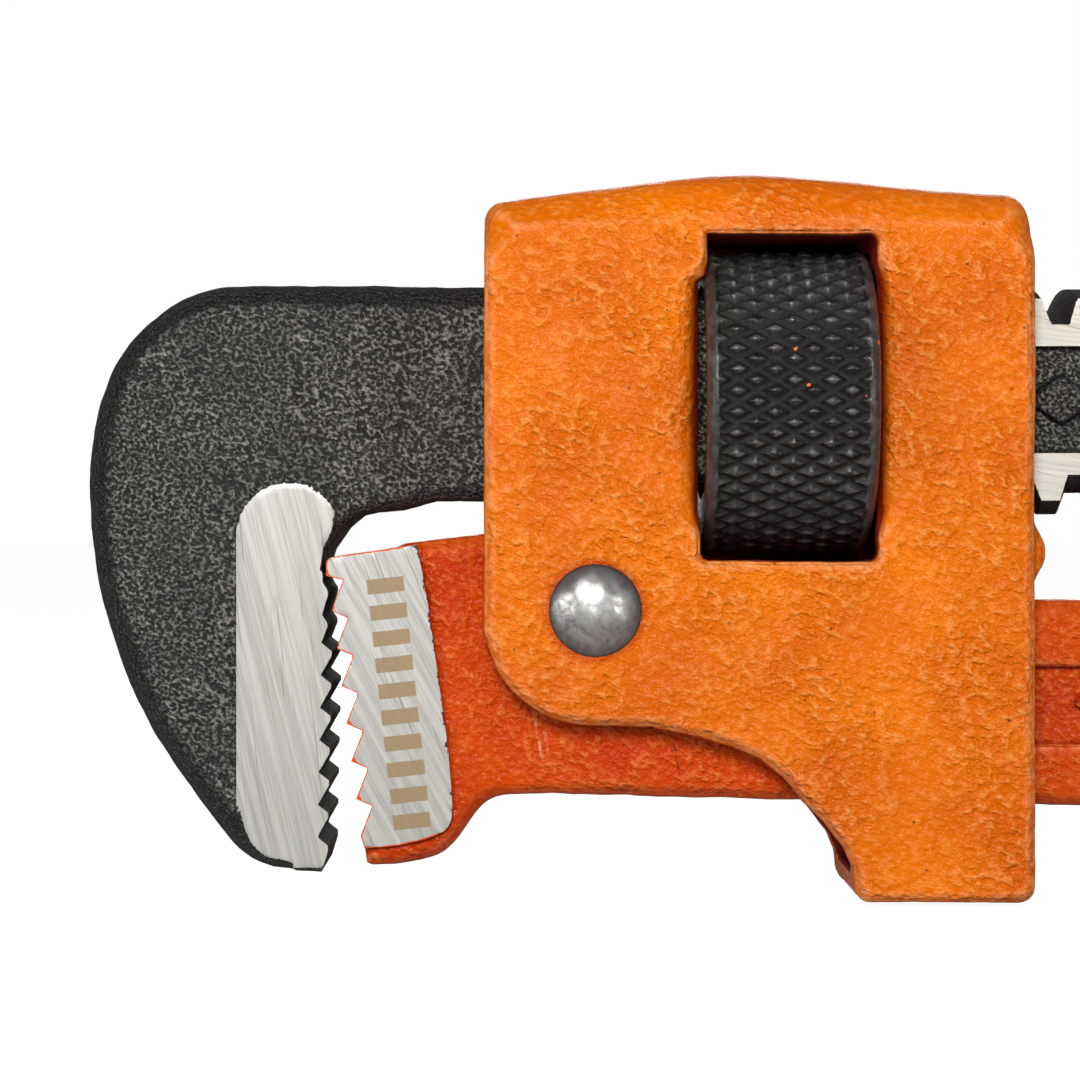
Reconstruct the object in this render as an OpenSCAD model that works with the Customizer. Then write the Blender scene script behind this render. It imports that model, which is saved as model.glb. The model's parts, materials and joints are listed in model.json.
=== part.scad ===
// Stillson-pattern pipe wrench, nominal 300 mm, jaws closed.
// Outlines are drawn in the X-Z plane about the pivot rivet: +X runs along the handle,
// +Z is up, and Y runs along the rivet. The whole tool is then shifted so that the origin
// lies at the middle of the hang hole.

/* [Handle] */
// Distance from the pivot rivet to the hang hole
hang_x = 187; // [170:1:220]
// Height of the hang hole below the pivot rivet
hang_drop = 8.6; // [8:0.1:9.5]
// Radius of the hang hole
hang_r = 4.5; // [3:0.5:5.5]
// Thickness of the handle inside the housing
handle_t = 10.4; // [9.5:0.1:10.4]
// Thickness of the grip behind the housing
grip_t = 14; // [11:0.5:16]
// Depth of the panel on each side of the grip
panel_deep = 1.6; // [0.8:0.2:3]
// Thickness of the heel jaw
heel_t = 13; // [12:0.5:14]

/* [Housing] */
// Thickness of the housing across its two walls
housing_t = 18; // [17:0.5:20]
// Width of the slot between the two walls
slot_t = 11; // [11:0.1:12]
// Radius of the pivot rivet
rivet_r = 3.5; // [3:0.1:4]
// Running clearance between rivet and handle
rivet_gap = 0.05; // [0.02:0.01:0.1]
// Radius of the rivet's head
head_r = 4.2; // [4:0.1:5]

/* [Shank and nut] */
// Height of the shank's centre line above the pivot
shank_z = 19.2; // [19:0.1:19.4]
// Outer radius of the shank's thread
thread_r = 10.5; // [10.3:0.1:10.5]
// Depth of the thread
thread_deep = 2; // [1.5:0.1:2]
// Pitch of the thread
pitch = 5; // [5:0.5:5]
// Thickness of the flat-sided shank
shank_t = 10; // [9:0.5:10]
// How far the rear end of the shank lies behind the pivot
shank_end = 88; // [84:1:95]
// Outer radius of the nut
nut_r = 14; // [13.5:0.1:14]
// Width of the nut
nut_w = 15.4; // [15:0.1:15.4]
// Clearance between nut thread and shank thread
thread_gap = 0.35; // [0.3:0.05:0.5]

/* [Hook jaw] */
// Thickness of the hook
hook_t = 14; // [13.5:0.5:14.5]
// Thickness across the ground faces beside the teeth
ground_t = 13; // [12:0.5:13]

/* [Hidden] */

$fn = 64;
over = 60;          // more than any thickness, for cuts that go right through
black = [0.18, 0.18, 0.17];
orange = [0.91, 0.44, 0.04];
steel = [0.72, 0.71, 0.68];

window_x0 = 9.5;
window_x1 = 25.5;
window_z0 = 4.5;
window_z1 = 34;
far_z0 = 5.9;       // the far wall's window is shorter, and hides the gap round the nut
far_z1 = 32.5;
nut_x = (window_x0 + window_x1) / 2 + 0.1;
channel_z1 = 30.3;  // roof of the shank's channel
web_z0 = 2.4;
web_z1 = 7.0;
nose_x = 38.3;      // rounded end of the web, just behind the walls
nose_z = 5.2;
nose_r = 2.8;
rear_x = 39.8;
wall_z0 = -26.5;    // underside of the bottom wall
wall_z1 = -23.8;    // top of the bottom wall
spring_t = 0.7;
small_rivet_r = 1.2;
jaw_rivet_x = 33;
jaw_rivet_z = 4.5;
handle_rivet_x = 34;
crest_x = 39.7;     // place of one thread crest along the top of the shank

// Points of an arc about c, from angle a0 to a1
function arc(c, r, a0, a1, n = 10) =
    [for (i = [0 : n]) c + r * [cos(a0 + (a1 - a0) * i / n), sin(a0 + (a1 - a0) * i / n)]];

// A saw-toothed edge: count gullets from start, a step apart, each followed by its tooth's
// points, which are given relative to the gullet
function saw(start, step, count, tooth) =
    [for (i = [0 : count - 1]) for (p = tooth) start + i * step + p];

// A plan outline from its points on the +Y side
function both_sides(half) =
    concat(half, [for (i = [len(half) - 1 : -1 : 0]) [half[i][0], -half[i][1]]]);

// An X-Z outline made a plate of thickness t, centred on the X-Z plane
module plate(t) rotate([90, 0, 0]) linear_extrude(t, center = true) children();

// Moves a shape drawn about the pivot into the tool's own frame
module about_pivot() translate([-hang_x, 0, hang_drop]) children();

// A bore or shaft along Y
module pin(x, z, r, length) translate([x, 0, z]) rotate([90, 0, 0]) cylinder(r = r, h = length, center = true);

// ---- Handle with heel jaw ----

heel_pitch = [0.453, -3.43];
heel_gullet = [-23.02, 2.69];
heel_outline = concat(
    [[-13.9, 6.15], [-23.9, 4.8]],
    arc([-23.85, 4.15], 0.65, 90, 180, 4),
    [[-24.5, 3.1]],
    saw(heel_gullet, heel_pitch, 6, [[0, 0], [-0.05, -0.35], [-1.02, -2.8]]),
    [heel_gullet + 6 * heel_pitch, [-21.36, -20.6], [-21.0, -21.9], [-20.7, -23.5], [-17.4, -23.2],
     [-14.1, -22.4], [-11.9, -20.3], [-12, 0]]);

ground_outline = concat(
    [[-16.2, 5.9], [-23.9, 4.8]],
    arc([-23.85, 4.15], 0.65, 90, 180, 4),
    [[-24.5, 3.1]],
    saw(heel_gullet, heel_pitch, 6, [[0, 0], [-0.05, -0.35], [-1.02, -2.8]]),
    [heel_gullet + 6 * heel_pitch, [-21.36, -20.6], [-21.0, -21.7], [-18.8, -21.6], [-16.2, -21.0],
     [-13.8, -20.1], [-13.1, -18.0], [-13.5, -12.4], [-15.2, 0.4]]);

beam_outline = concat(
    [[-18, 5.85], [-10, 6.9]],
    arc([0, -1], 8, 85, 20, 6),
    [[9.5, 0.8], [44, 0.8], [110, -0.6], [160, 0.6]],
    arc([hang_x, -hang_drop], 10, 80, -80, 16),
    [[160, -17.8], [110, -16.6], [44, -18.1], [18, -17.6], [-6, -17.0], [-8.6, -17.1], [-10.8, -18.5],
     [-11.9, -20.3], [-14.1, -22.4], [-18, -22.4]]);

// Plan of the beam: thin inside the housing, thicker from its rear end on
beam_plan = both_sides([[-18, handle_t / 2 + 0.4], [-12, handle_t / 2], [44, handle_t / 2],
                        [60, grip_t / 2], [198, grip_t / 2]]);

panel_outline = [[30, -5.0], [110, -5.2], [170, -4.6], [174, -7], [174, -10.2], [170, -12.6],
                 [110, -12.0], [30, -12.4]];

module handle() {
    color(orange) about_pivot() difference() {
        union() {
            intersection() {
                plate(over) polygon(beam_outline);
                translate([0, 0, -over / 2]) linear_extrude(over) polygon(beam_plan);
            }
            intersection() {
                plate(heel_t - 1.2) polygon(heel_outline);
                translate([-over, -over / 2, -over / 2]) cube([over - 12, over, over]);
            }
            plate(heel_t) polygon(ground_outline);
        }
        pin(0, 0, rivet_r + rivet_gap, over);
        pin(hang_x, -hang_drop, hang_r, over);
        for (s = [1, -1])
            translate([0, s * (grip_t / 2 + 5 - panel_deep), 0]) plate(10) polygon(panel_outline);
        // the panel goes on, as deep below the rims, along the thin stretch inside the housing
        for (s = [1, -1])
            translate([0, s * (handle_t / 2 + 5 - 1), 0]) plate(10)
                polygon([[30, -5.0], [52, -5.1], [52, -12.3], [30, -12.4]]);
    }
}

// ---- Housing ----

housing_outline = concat(
    [[-10.1, -2.5], [-10.1, 35.9]],
    arc([-8.1, 35.5], 2.0, 170, 108, 4),
    [[2.2, 38.8], [7.6, 39.5], [14.5, 39.9], [19.9, 39.5], [30.8, 38.5], [36.3, 38.1]],
    arc([37.3, 35.6], 2.5, 85, 5, 6),
    arc([38.4, wall_z0 + 1.4], 1.4, 0, -90, 4),
    arc([24.9, wall_z0 + 1.4], 1.4, -90, -180, 4),
    [[23.3, -23.4], [22.5, -21.6], [18.6, -17.1], [15.0, -13.5], [9.5, -11.5], [5.0, -10.6]],
    arc([-0.2, -0.6], 9.9, -90, -170, 10));

// Side view of the slot between the walls; the web juts into it from the rear
slot_outline = [[-12, channel_z1], [rear_x + 5, channel_z1], [rear_x + 5, web_z1], [26.7, web_z1],
                [26.7, window_z0], [window_x0, window_z0], [window_x0, web_z0],
                [rear_x + 5, web_z0], [rear_x + 5, wall_z1], [-12, wall_z1]];

module housing() {
    color(orange) about_pivot() difference() {
        union() {
            intersection() {
                plate(housing_t) polygon(housing_outline);
                // rounded top edges
                rotate([90, 0, 90]) linear_extrude(over * 2, center = true) union() {
                    translate([-housing_t / 2, -over]) square([housing_t, over + 34.9]);
                    translate([-housing_t / 2 + 5, 0]) square([housing_t - 10, 39.9]);
                    for (s = [1, -1]) translate([s * (housing_t / 2 - 5), 34.9]) circle(5);
                }
            }
            // nose of the web
            pin(nose_x, nose_z, nose_r, 14);
        }
        difference() {
            plate(slot_t) polygon(slot_outline);
            pin(nose_x, nose_z, nose_r, over);
        }
        // window for the nut: the near wall and the pocket between the walls, then the far wall
        translate([window_x0, -over / 2, window_z0])
            cube([window_x1 - window_x0, over / 2 + slot_t / 2, window_z1 - window_z0]);
        translate([window_x0, 0, far_z0])
            cube([window_x1 - window_x0, over, far_z1 - far_z0]);
        pin(0, 0, rivet_r, over);
        // holes for the two spring rivets
        translate([jaw_rivet_x, 0, jaw_rivet_z]) cylinder(r = small_rivet_r, h = 4);
        translate([handle_rivet_x, 0, wall_z0 - 1]) cylinder(r = small_rivet_r, h = 5);
    }
}

// ---- Hook jaw with threaded shank ----

hook_gullet = [-24.8, 2.87];
hook_pitch = [-0.0625, -2.95];
plain_end = 8;       // the thread starts behind here

hook_outline = concat(
    [[plain_end, shank_z + thread_r - 0.1], [-32, 29.6]],
    arc([-32.2, 15.7], 13.9, 95, 170, 14),
    arc([1.7, 12.5], 47.8, 181, 223, 18),
    [[-31.0, -22.5], [-29.4, -23.5], [-24.9, -23.8], [-24.2, -21.6]],
    [for (i = [8 : -1 : 0]) for (p = i < 2
        ? [[0.5, -1.45], [0.45, -1.1], [0, -0.4]]
        : [[0.97, -1.15], [0.97, -0.73], [0, 0]])
        hook_gullet + i * hook_pitch + p],
    [[-24.85, 3.8], [-24.4, 5.4], [-22.9, 7.5], [-21.6, 8.6], [-20.3, 8.9], [-17.7, 9.1],
     [-16.4, 9.4], [-14.5, 9.9], [plain_end, 9.9]]);

// Plan of the hook: full thickness at the bend, tapering to the shank's
hook_plan = both_sides([[-60, hook_t / 2], [-28, hook_t / 2], [-13, shank_t / 2], [plain_end, shank_t / 2]]);

// Side view of the flats ground beside the teeth
flat_outline = concat(
    [[-32.3, -19.8], [-31.5, -21.4], [-30.3, -23.0], [-28.3, -26], [-20, -26], [-20, 8.6], [-23.2, 8.6]],
    arc([-27.75, 6.7], 4.6, 25, 175, 10));

lead_angle = atan(pitch / (2 * PI * thread_r));

// One side's grooves: rings tilted by the lead angle, cut where the helix meets that side
module grooves(side, first) {
    root_w = 1.8;
    crest_w = 3.4;
    for (x = [first : pitch : shank_end + pitch])
        translate([x, 0, shank_z]) rotate([0, 0, side * lead_angle]) intersection() {
            rotate([0, 90, 0]) rotate_extrude()
                polygon([[thread_r - thread_deep, -root_w / 2], [thread_r + 2, -crest_w / 2 - 0.8],
                         [thread_r + 2, crest_w / 2 + 0.8], [thread_r - thread_deep, root_w / 2]]);
            translate([-pitch, -over / 2, side > 0 ? 0 : -over]) cube([2 * pitch, over, over]);
        }
}

module hook_jaw() {
    color(black) about_pivot() difference() {
        union() {
            intersection() {
                plate(over) polygon(hook_outline);
                translate([0, 0, -over]) linear_extrude(2 * over) polygon(hook_plan);
            }
            intersection() {
                translate([plain_end - 0.5, 0, shank_z]) rotate([0, 90, 0])
                    cylinder(r = thread_r, h = shank_end - plain_end + 0.5);
                plate(shank_t) translate([plain_end - 2, shank_z - thread_r - 1])
                    square([shank_end, 2 * thread_r + 2]);
            }
        }
        for (s = [1, -1])
            translate([0, s * (ground_t / 2 + 5), 0]) plate(10) polygon(flat_outline);
        grooves(1, crest_x - 6.5 * pitch);
        grooves(-1, crest_x - 6 * pitch);
        // recessed panels along the shank, past the plain stretch
        for (s = [1, -1])
            translate([0, s * (shank_t / 2 + 5 - 0.9), shank_z])
                plate(10) translate([plain_end + 4, -4.9]) square([shank_end - plain_end - 10, 9.8]);
    }
}

// ---- Adjusting nut ----

steps_per_turn = 24;
// The cutter's section over one pitch: place in pitches from the crest, and depth from 0 to 1
screw_section = [[-0.27, 0], [0.27, 0], [0.40, 1], [0.60, 1]];

// Triangles from a loop of points to one point
function fan(loop, tip) =
    [for (i = [0 : len(loop) - 1]) [tip, loop[(i + 1) % len(loop)], loop[i]]];

// A solid screw along +X with a right-hand thread, whose crests lie where the shank's do,
// a clearance larger all round. Its surface is one ribbon, and each turn's last edge meets
// the next turn's first edge. Both ends are fanned to a point on the axis.
module screw(x0, turns) {
    rows = turns * steps_per_turn;
    count = len(screw_section);
    points = [for (i = [0 : rows]) for (p = screw_section)
        let (a = 360 * i / steps_per_turn, r = thread_r + thread_gap - p[1] * (thread_deep - 0.3))
        [x0 + pitch * (i / steps_per_turn + p[0]), -r * sin(a), r * cos(a)]];
    ribbon = [for (i = [0 : rows - 1]) for (k = [0 : count - 2])
        [i * count + k, i * count + k + 1, (i + 1) * count + k + 1, (i + 1) * count + k]];
    seam = [for (i = [0 : rows - steps_per_turn - 1])
        [i * count + count - 1, (i + steps_per_turn) * count,
         (i + steps_per_turn + 1) * count, (i + 1) * count + count - 1]];
    start_loop = concat([for (i = [steps_per_turn : -1 : 0]) i * count], [for (k = [1 : count - 1]) k]);
    end_loop = concat([for (i = [rows - steps_per_turn : rows]) i * count + count - 1],
                      [for (k = [count - 2 : -1 : 0]) rows * count + k]);
    tips = [[x0 + pitch / 2, 0, 0], [x0 + pitch * (turns - 0.5), 0, 0]];
    faces = concat(
        [for (q = concat(ribbon, seam)) each [[q[0], q[1], q[2]], [q[0], q[2], q[3]]]],
        fan(start_loop, len(points)), fan(end_loop, len(points) + 1));
    polyhedron(concat(points, tips), faces, convexity = 10);
}

module adjusting_nut() {
    chamfer = 0.9;
    color(black) about_pivot() difference() {
        translate([nut_x - nut_w / 2, 0, shank_z]) rotate([0, 90, 0]) rotate_extrude()
            polygon([[0, 0], [nut_r - chamfer, 0], [nut_r, chamfer], [nut_r, nut_w - chamfer],
                     [nut_r - chamfer, nut_w], [0, nut_w]]);
        translate([0, 0, shank_z]) screw(crest_x - 7 * pitch, 5);
    }
}

// ---- Rivets and springs ----

module pivot_rivet() {
    dome_h = 1.6;
    dome_r = (head_r * head_r + dome_h * dome_h) / (2 * dome_h);
    color(steel) about_pivot() {
        pin(0, 0, rivet_r, housing_t);
        for (s = [1, -1]) translate([0, s * housing_t / 2, 0]) rotate([-90 * s, 0, 0]) intersection() {
            translate([0, 0, dome_h - dome_r]) sphere(dome_r);
            cylinder(r = head_r, h = dome_h + 1);
        }
    }
}

// A strip spring: a flat foot, then a bow that rises to top_z
function bow(x0, x1, z0, rise, n = 12) = [for (i = [0 : n])
    [x0 + (x1 - x0) * i / n, z0 + rise * pow(sin(90 * i / n), 2)]];

module strip(points, width) {
    plate(width) polygon(concat(points,
        [for (i = [len(points) - 1 : -1 : 0]) points[i] + [0, spring_t]]));
}

module jaw_spring() {
    color(steel) about_pivot() difference() {
        strip(concat([[35.9, web_z1]], bow(31, 27.2, web_z1, 0.6, 6)), 8);
        translate([jaw_rivet_x, 0, jaw_rivet_z]) cylinder(r = small_rivet_r, h = 5);
    }
}

module handle_spring() {
    color(steel) about_pivot() difference() {
        strip(concat([[38.5, wall_z1]], bow(31, 24, wall_z1, 4.6, 12)), 8);
        translate([handle_rivet_x, 0, wall_z1 - 1]) cylinder(r = small_rivet_r, h = 5);
    }
}

// A small rivet along Z: a shaft with a low head on top
module small_rivet(x, z0, z1) {
    translate([x, 0, z0]) cylinder(r = small_rivet_r, h = z1 - z0);
    translate([x, 0, z1]) cylinder(r1 = 2.1, r2 = 1.6, h = 0.5);
}

module jaw_spring_rivet() {
    color(steel) about_pivot() small_rivet(jaw_rivet_x, jaw_rivet_z, web_z1 + spring_t);
}

module handle_spring_rivet() {
    color(steel) about_pivot() small_rivet(handle_rivet_x, wall_z0 + 0.3, wall_z1 + spring_t);
}

handle();
housing();
hook_jaw();
adjusting_nut();
pivot_rivet();
jaw_spring();
handle_spring();
jaw_spring_rivet();
handle_spring_rivet();
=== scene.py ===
"""Pipe wrench: forged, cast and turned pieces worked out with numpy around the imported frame.

Lengths in the shape functions are millimetres about the pivot rivet: x runs along the handle, y along
the rivet, z up. Each forging or casting is a field: a number for every place, negative inside the metal
and zero on its surface. skin() turns a field into a mesh.
"""

import json
import math

import bpy
import numpy as np
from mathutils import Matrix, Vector


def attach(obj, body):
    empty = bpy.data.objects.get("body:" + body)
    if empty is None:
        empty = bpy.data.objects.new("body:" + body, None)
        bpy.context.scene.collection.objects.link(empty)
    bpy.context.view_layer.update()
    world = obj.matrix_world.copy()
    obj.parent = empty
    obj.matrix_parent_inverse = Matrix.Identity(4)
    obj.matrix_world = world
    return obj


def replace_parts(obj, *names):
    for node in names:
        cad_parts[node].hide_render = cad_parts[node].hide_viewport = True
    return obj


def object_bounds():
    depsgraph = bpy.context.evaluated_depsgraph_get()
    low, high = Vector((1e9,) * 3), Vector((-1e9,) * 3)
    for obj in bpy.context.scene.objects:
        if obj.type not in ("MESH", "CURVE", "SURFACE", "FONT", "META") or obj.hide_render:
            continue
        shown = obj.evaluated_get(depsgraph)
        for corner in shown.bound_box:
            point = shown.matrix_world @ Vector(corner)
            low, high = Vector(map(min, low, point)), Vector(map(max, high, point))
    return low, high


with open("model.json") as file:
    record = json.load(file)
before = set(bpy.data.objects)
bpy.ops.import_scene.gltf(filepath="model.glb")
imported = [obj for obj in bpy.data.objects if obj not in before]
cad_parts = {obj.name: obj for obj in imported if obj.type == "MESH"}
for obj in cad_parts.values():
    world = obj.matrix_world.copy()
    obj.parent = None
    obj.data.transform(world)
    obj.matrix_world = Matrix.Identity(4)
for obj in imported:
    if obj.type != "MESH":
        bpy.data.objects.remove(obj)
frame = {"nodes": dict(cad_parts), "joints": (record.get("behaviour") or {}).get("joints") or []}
cad_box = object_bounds()

MM = 0.001
PIVOT = np.array(next(j for j in frame["joints"] if j["name"] == "housing_pivot")["pos_m"])

# Sizes that the frame's parts share, in millimetres
HANG = -PIVOT / MM
SHANK_Z = 19.2
THREAD_R = 10.5
THREAD_DEEP = 2.0
PITCH = 5.0
CREST_X = 39.7
SHANK_END = 88.0
SHANK_HALF = 5.0
PLAIN_END = 8.0
GROUND_HALF = 6.5
HANDLE_HALF = 5.2
GRIP_HALF = 7.0
HOUSING_HALF = 9.0
SLOT_HALF = 5.5
NUT_X = 17.6
NUT_R = 14.0
NUT_W = 15.4
KNURL_HALF = 6.75
RIVET_R = 3.5
HEAD_R = 4.2
HANG_R = 4.5
NUT_GAP = 0.35
WINDOW_FRONT = 9.5
WINDOW_BACK = 25.5
NOSE = (38.3, 5.2, 2.8)
FLAT_FACING = 0.97


# ---- Fields ----


def arc(cx, cz, r, start, end, count=10):
    """Points along a circle about (cx, cz), from one angle to another in degrees."""
    a = np.radians(np.linspace(start, end, count + 1))
    return np.stack([cx + r * np.cos(a), cz + r * np.sin(a)], 1)


def saw(start, step, count, tooth):
    """Points of a saw edge: the tooth's own points, shifted by one more step for each tooth."""
    start, step, tooth = np.array(start), np.array(step), np.array(tooth)
    return (start + step * np.arange(count)[:, None, None] + tooth[None]).reshape(-1, 2)


def curve(points, per=5):
    """A smooth line through points: each stretch is a cubic whose slopes at its ends are half the step
    from the point before to the point after."""
    p = np.array(points, float)
    p = np.concatenate([[2 * p[0] - p[1]], p, [2 * p[-1] - p[-2]]])
    t = np.linspace(0, 1, per, endpoint=False)[:, None]
    runs = []
    for a, b, c, d in zip(p[:-3], p[1:-2], p[2:-1], p[3:]):
        runs.append(b + 0.5 * t * (c - a + t * (2 * a - 5 * b + 4 * c - d + t * (3 * (b - c) + d - a))))
    return np.concatenate(runs + [p[-2:-1]])


def join(*runs):
    """One closed outline from runs of points."""
    return np.concatenate([np.array(run, float).reshape(-1, 2) for run in runs])


def ramp(value, low, high):
    """Rises smoothly from 0 at low to 1 at high: 3t^2 - 2t^3."""
    t = np.clip((value - low) / (high - low), 0, 1)
    return t * t * (3 - 2 * t)


def outline(x, z, points):
    """Signed distance to a closed outline: the shortest way to any edge, negative inside, where inside
    is decided by how many edges a line towards +x crosses."""
    x, z = np.broadcast_arrays(x, z)
    best = np.full(x.shape, 1e9)
    inside = np.zeros(x.shape, bool)
    for (ax, az), (bx, bz) in zip(points, np.roll(points, -1, 0)):
        ex, ez = bx - ax, bz - az
        t = np.clip(((x - ax) * ex + (z - az) * ez) / (ex * ex + ez * ez + 1e-12), 0, 1)
        best = np.minimum(best, (x - ax - t * ex) ** 2 + (z - az - t * ez) ** 2)
        if az != bz:
            inside ^= ((az > z) != (bz > z)) & (x < ax + ex * (z - az) / ez)
    return np.where(inside, -1, 1) * np.sqrt(best)


def plate(side, y, half, r):
    """A plate from a side distance: its thickness is 2 * half, and its rims are rounded to radius r."""
    a = side + r
    b = np.abs(y) - half + r
    return np.hypot(np.maximum(a, 0), np.maximum(b, 0)) + np.minimum(np.maximum(a, b), 0) - r


def box(x, y, z, low, high, r=0.0):
    """A box from corner to corner, with its edges rounded to radius r."""
    q = [np.abs(v - (lo + hi) / 2) - (hi - lo) / 2 + r for v, lo, hi in zip((x, y, z), low, high)]
    far = np.sqrt(sum(np.maximum(v, 0) ** 2 for v in q))
    return far + np.minimum(np.maximum(np.maximum(q[0], q[1]), q[2]), 0) - r


def soft_min(a, b, k):
    """Union with a fillet of about k where the two meet."""
    h = np.clip(0.5 + 0.5 * (b - a) / k, 0, 1)
    return b + (a - b) * h - k * h * (1 - h)


def soft_max(a, b, k):
    """Intersection with its edge rounded by about k."""
    return -soft_min(-a, -b, k)


# ---- From a field to a mesh ----


def slopes(field, p):
    """Direction in which a field rises fastest at each place, by differences 0.02 mm either way."""
    d = 0.02
    g = np.empty_like(p)
    for k in range(3):
        a, b = p.copy(), p.copy()
        a[:, k] += d
        b[:, k] -= d
        g[:, k] = field(*a.T) - field(*b.T)
    return g / np.maximum(np.linalg.norm(g, axis=1, keepdims=True), 1e-9)


def skin(field, low, high, step):
    """Vertices and four-sided faces of the surface where a field is zero.

    The space is cut into cells. Wherever a cell edge has one end inside the metal and one outside, the
    crossing and the surface's slope there are found. Each cell that is crossed gets one vertex, at the
    place that lies best on all its crossings' tangent planes, which keeps sharp edges sharp. Each
    crossed edge gives one face, between the four cells around it."""
    ax = [np.arange(lo, hi + step, step) for lo, hi in zip(low, high)]
    n = [len(a) for a in ax]
    value = field(ax[0][:, None, None], ax[1][None, :, None], ax[2][None, None, :])
    value = np.broadcast_to(value, n)
    inside = value < 0
    cell_ids, points, normals, rings = [], [], [], []
    strides = np.array([n[1] * n[2], n[2], 1])
    for k in range(3):
        near = [slice(None)] * 3
        far = [slice(None)] * 3
        near[k], far[k] = slice(None, -1), slice(1, None)
        near, far = tuple(near), tuple(far)
        at = np.argwhere(inside[near] != inside[far])
        va, vb = value[near][tuple(at.T)], value[far][tuple(at.T)]
        lo, hi = np.zeros(len(at)), np.ones(len(at))
        flo, fhi = va.copy(), vb.copy()
        base = np.stack([ax[d][at[:, d]] for d in range(3)], 1)
        for _ in range(4):
            t = np.clip(flo / (flo - fhi), 0.02, 0.98) * (hi - lo) + lo
            p = base.copy()
            p[:, k] += t * step
            f = field(*p.T)
            same = (f < 0) == (flo < 0)
            lo, flo = np.where(same, t, lo), np.where(same, f, flo)
            hi, fhi = np.where(same, hi, t), np.where(same, fhi, f)
        u, v = (k + 1) % 3, (k + 2) % 3
        here = at @ strides
        ring = np.stack([here - strides[u] - strides[v], here - strides[v], here, here - strides[u]], 1)
        ring = np.where((va < 0)[:, None], ring, ring[:, ::-1])
        rings.append(ring)
        cell_ids.append(ring.ravel())
        points.append(np.repeat(p, 4, 0))
        normals.append(np.repeat(slopes(field, p), 4, 0))
    cells, place = np.unique(np.concatenate(cell_ids), return_inverse=True)
    p, g = np.concatenate(points), np.concatenate(normals)
    count = np.bincount(place)
    middle = np.stack([np.bincount(place, p[:, d]) for d in range(3)], 1) / count[:, None]
    push = np.einsum("ij,ij->i", g, p - middle[place])
    pull = np.empty((len(cells), 3, 3))
    rhs = np.empty((len(cells), 3))
    for a in range(3):
        rhs[:, a] = np.bincount(place, g[:, a] * push)
        for b in range(3):
            pull[:, a, b] = np.bincount(place, g[:, a] * g[:, b]) + (0.02 * count if a == b else 0)
    spot = middle + np.linalg.solve(pull, rhs[:, :, None])[:, :, 0]
    corner = np.stack(np.unravel_index(cells, n), 1) * step + np.array([a[0] for a in ax])
    spot = np.clip(spot, corner, corner + step)
    return spot, np.searchsorted(cells, np.concatenate(rings))


def lattice_noise(p, size, seed):
    """Smooth noise between -1 and 1: random values on a cubic lattice of the given size, blended
    across each cube with smooth weights."""
    values = np.random.RandomState(seed).uniform(-1, 1, (32, 32, 32))
    q = p / size
    cell = np.floor(q).astype(int)
    t = q - cell
    t = t * t * (3 - 2 * t)
    total = np.zeros(len(p))
    for dx in (0, 1):
        for dy in (0, 1):
            for dz in (0, 1):
                weight = (
                    np.where(dx, t[:, 0], 1 - t[:, 0])
                    * np.where(dy, t[:, 1], 1 - t[:, 1])
                    * np.where(dz, t[:, 2], 1 - t[:, 2])
                )
                corner = (cell + (dx, dy, dz)) % 32
                total += weight * values[tuple(corner.T)]
    return total


def new_piece(name, spot, faces, body, materials, face_slots=None, sharp_deg=38, marks=None):
    """A mesh object from vertices in millimetres about the pivot and four-sided faces, riding on a body."""
    mesh = bpy.data.meshes.new(name)
    mesh.vertices.add(len(spot))
    mesh.vertices.foreach_set("co", (spot * MM + PIVOT).ravel())
    mesh.loops.add(faces.size)
    mesh.loops.foreach_set("vertex_index", faces.ravel().astype(np.int32))
    mesh.polygons.add(len(faces))
    mesh.polygons.foreach_set("loop_start", np.arange(len(faces), dtype=np.int32) * faces.shape[1])
    mesh.polygons.foreach_set("use_smooth", np.ones(len(faces), bool))
    for material in materials:
        mesh.materials.append(material)
    if face_slots is not None:
        mesh.polygons.foreach_set("material_index", face_slots.astype(np.int32))
    for mark, values in (marks or {}).items():
        layer = mesh.attributes.new(mark, "FLOAT", "POINT")
        layer.data.foreach_set("value", values.astype(np.float32))
    mesh.update(calc_edges=True)
    mesh.set_sharp_from_angle(angle=math.radians(sharp_deg))
    mesh.validate()
    piece = bpy.data.objects.new(name, mesh)
    bpy.context.collection.objects.link(piece)
    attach(piece, body)
    return piece


def edge_mark(field, spot, reach):
    """How far each place stands out of its surroundings: the field's mean at six places a reach away,
    less its value here, over the reach. It is above zero on outer edges and below zero in corners."""
    total = -6 * field(*spot.T)
    for k in range(3):
        for d in (reach, -reach):
            p = spot.copy()
            p[:, k] += d
            total += field(*p.T)
    return total / (6 * reach)


def face_places(spot, faces):
    """Each face's middle and its outward direction, from the cross product of its diagonals."""
    corner = spot[faces]
    out = np.cross(corner[:, 2] - corner[:, 0], corner[:, 3] - corner[:, 1])
    return corner.mean(1), out / np.maximum(np.linalg.norm(out, axis=1, keepdims=True), 1e-12)


def vertex_outward(spot, faces):
    """Each vertex's outward direction: the mean of its faces' directions, weighted by their areas."""
    corner = spot[faces]
    out = np.cross(corner[:, 2] - corner[:, 0], corner[:, 3] - corner[:, 1])
    total = np.stack([np.bincount(faces.ravel(), np.repeat(out[:, k], 4), len(spot)) for k in range(3)], 1)
    return total / np.maximum(np.linalg.norm(total, axis=1, keepdims=True), 1e-12)


def facing_out(out, middle, half):
    """Which faces lie on the two planes half a thickness either side of the middle, facing outwards."""
    return (np.abs(out[:, 1]) > FLAT_FACING) & (np.abs(middle[:, 1]) > half - 0.05)


def turned_away(spot, faces):
    """0 where the surface faces along the rivet, 1 where it faces across it."""
    return 1 - np.abs(vertex_outward(spot, faces)[:, 1])


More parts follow.
